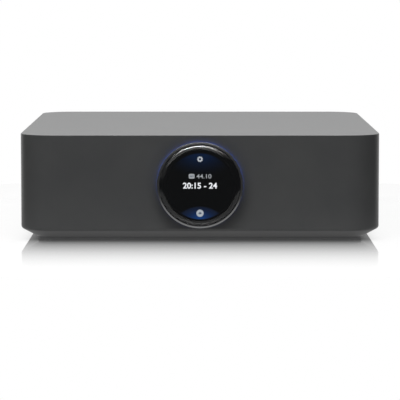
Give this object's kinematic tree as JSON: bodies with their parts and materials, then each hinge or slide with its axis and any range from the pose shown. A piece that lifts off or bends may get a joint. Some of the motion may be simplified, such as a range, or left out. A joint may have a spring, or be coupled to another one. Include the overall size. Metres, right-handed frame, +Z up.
{
  "type": "streaming amplifier",
  "caption": "Compact one-box audio streaming amplifier with a round front display in a turning volume ring, speaker terminals and sockets at the back.",
  "frame": {"origin": "middle of the bounding box, at the underside of the feet", "axes": "+Z up, the front with the display faces -Y, +X to the right seen from the front"},
  "size_m": [0.24, 0.295, 0.0711],
  "materials": {
    "shell": "satin",
    "plate": "satin",
    "rear": "matte",
    "foot": "matte",
    "screw": "satin",
    "ring": "satin",
    "light_guide": "translucent",
    "magnet": "matte",
    "cover_glass": "gloss",
    "display": "gloss",
    "carrier": "matte",
    "board": "gloss",
    "bare_metal": "satin",
    "flex": "satin",
    "black_part": "matte",
    "sink": "matte",
    "coil_body": "matte",
    "can": "gloss",
    "ferrite": "matte",
    "sheet": "satin",
    "contact": "polished",
    "gold": "polished",
    "cap_red": "satin",
    "cap_black": "satin",
    "lead_dark": "satin",
    "lead_earth": "satin",
    "lead_red": "satin"
  },
  "bodies": {
    "chassis": {"housing": "shell", "base_plate": "plate", "rubber_feet": "foot", "base_screws": "screw", "rear_panel": "rear", "rear_screws": "screw", "light_ring": "light_guide", "ring_retainer": "bare_metal", "display_carrier": "carrier", "display_panel": "display", "display_glass": "cover_glass", "display_board": "board", "dial_bracket": "bare_metal", "dial_screws": "screw", "display_flex": "flex", "standoffs": "bare_metal", "board_screws": "screw", "main_board": "board", "processor_shield": "bare_metal", "radio_module": "bare_metal", "antennas": "flex", "antenna_leads": "lead_dark", "amplifier_board": "board", "amplifier_chips": "black_part", "heat_sink": "sink", "output_inductors": "coil_body", "supply_capacitors": "can", "power_board": "board", "power_transformer": "ferrite", "bulk_capacitors": "can", "filter_choke": "ferrite", "insulation_sheet": "sheet", "signal_ribbon": "flex", "line_jacks": "gold", "output_jacks": "gold", "optical_socket": "black_part", "hdmi_socket": "contact", "usb_socket": "contact", "ethernet_socket": "black_part", "mains_inlet": "black_part", "inlet_contacts": "contact", "terminal_base": "black_part", "terminal_posts": "gold", "mains_wires": "lead_dark", "earth_wire": "lead_earth", "supply_harness": "lead_red", "speaker_wires": "lead_red", "display_cable": "lead_dark"},
    "volume_dial": {"volume_ring": "ring", "encoder_magnet_ring": "magnet"},
    "reset_button": {"reset_button": "black_part"},
    "optical_shutter": {"optical_shutter": "black_part"},
    "washer_right_minus": {"terminal_washer_right_minus": "gold"},
    "cap_right_minus": {"terminal_cap_right_minus": "cap_black"},
    "washer_right_plus": {"terminal_washer_right_plus": "gold"},
    "cap_right_plus": {"terminal_cap_right_plus": "cap_red"},
    "washer_left_minus": {"terminal_washer_left_minus": "gold"},
    "cap_left_minus": {"terminal_cap_left_minus": "cap_black"},
    "washer_left_plus": {"terminal_washer_left_plus": "gold"},
    "cap_left_plus": {"terminal_cap_left_plus": "cap_red"}
  },
  "joints": [
    {"name": "volume_turn", "type": "hinge", "parent": "chassis", "child": "volume_dial", "pos_m": [0, -0.1395, 0.0385], "axis": [0, 1, 0], "continuous": true},
    {"name": "reset_press", "type": "slide", "parent": "chassis", "child": "reset_button", "axis": [0, -1, 0], "range_m": [0, 0.0008], "stiffness_N_per_m": 700},
    {"name": "shutter_swing", "type": "hinge", "parent": "chassis", "child": "optical_shutter", "pos_m": [0.01937, 0.1239, 0.0298], "axis": [-1, 0, 0], "range_deg": [0, 80], "stiffness_Nm_per_rad": 0.0002, "springref_deg": -11.46},
    {"name": "right_minus_travel", "type": "slide", "parent": "chassis", "child": "washer_right_minus", "axis": [0, 1, 0], "range_m": [0, 0.005]},
    {"name": "right_minus_turn", "type": "hinge", "parent": "washer_right_minus", "child": "cap_right_minus", "pos_m": [-0.04664, 0.1295, 0.02848], "axis": [0, 1, 0], "range_deg": [0, 1440]},
    {"name": "right_plus_travel", "type": "slide", "parent": "chassis", "child": "washer_right_plus", "axis": [0, 1, 0], "range_m": [0, 0.005]},
    {"name": "right_plus_turn", "type": "hinge", "parent": "washer_right_plus", "child": "cap_right_plus", "pos_m": [-0.04664, 0.1295, 0.04752], "axis": [0, 1, 0], "range_deg": [0, 1440]},
    {"name": "left_minus_travel", "type": "slide", "parent": "chassis", "child": "washer_left_minus", "axis": [0, 1, 0], "range_m": [0, 0.005]},
    {"name": "left_minus_turn", "type": "hinge", "parent": "washer_left_minus", "child": "cap_left_minus", "pos_m": [-0.02759, 0.1295, 0.02848], "axis": [0, 1, 0], "range_deg": [0, 1440]},
    {"name": "left_plus_travel", "type": "slide", "parent": "chassis", "child": "washer_left_plus", "axis": [0, 1, 0], "range_m": [0, 0.005]},
    {"name": "left_plus_turn", "type": "hinge", "parent": "washer_left_plus", "child": "cap_left_plus", "pos_m": [-0.02759, 0.1295, 0.04752], "axis": [0, 1, 0], "range_deg": [0, 1440]}
  ],
  "couplings": [
    {"joint": "right_minus_travel", "follows": "right_minus_turn", "m_per_rad": 0.00019894},
    {"joint": "right_plus_travel", "follows": "right_plus_turn", "m_per_rad": 0.00019894},
    {"joint": "left_minus_travel", "follows": "left_minus_turn", "m_per_rad": 0.00019894},
    {"joint": "left_plus_travel", "follows": "left_plus_turn", "m_per_rad": 0.00019894}
  ]
}
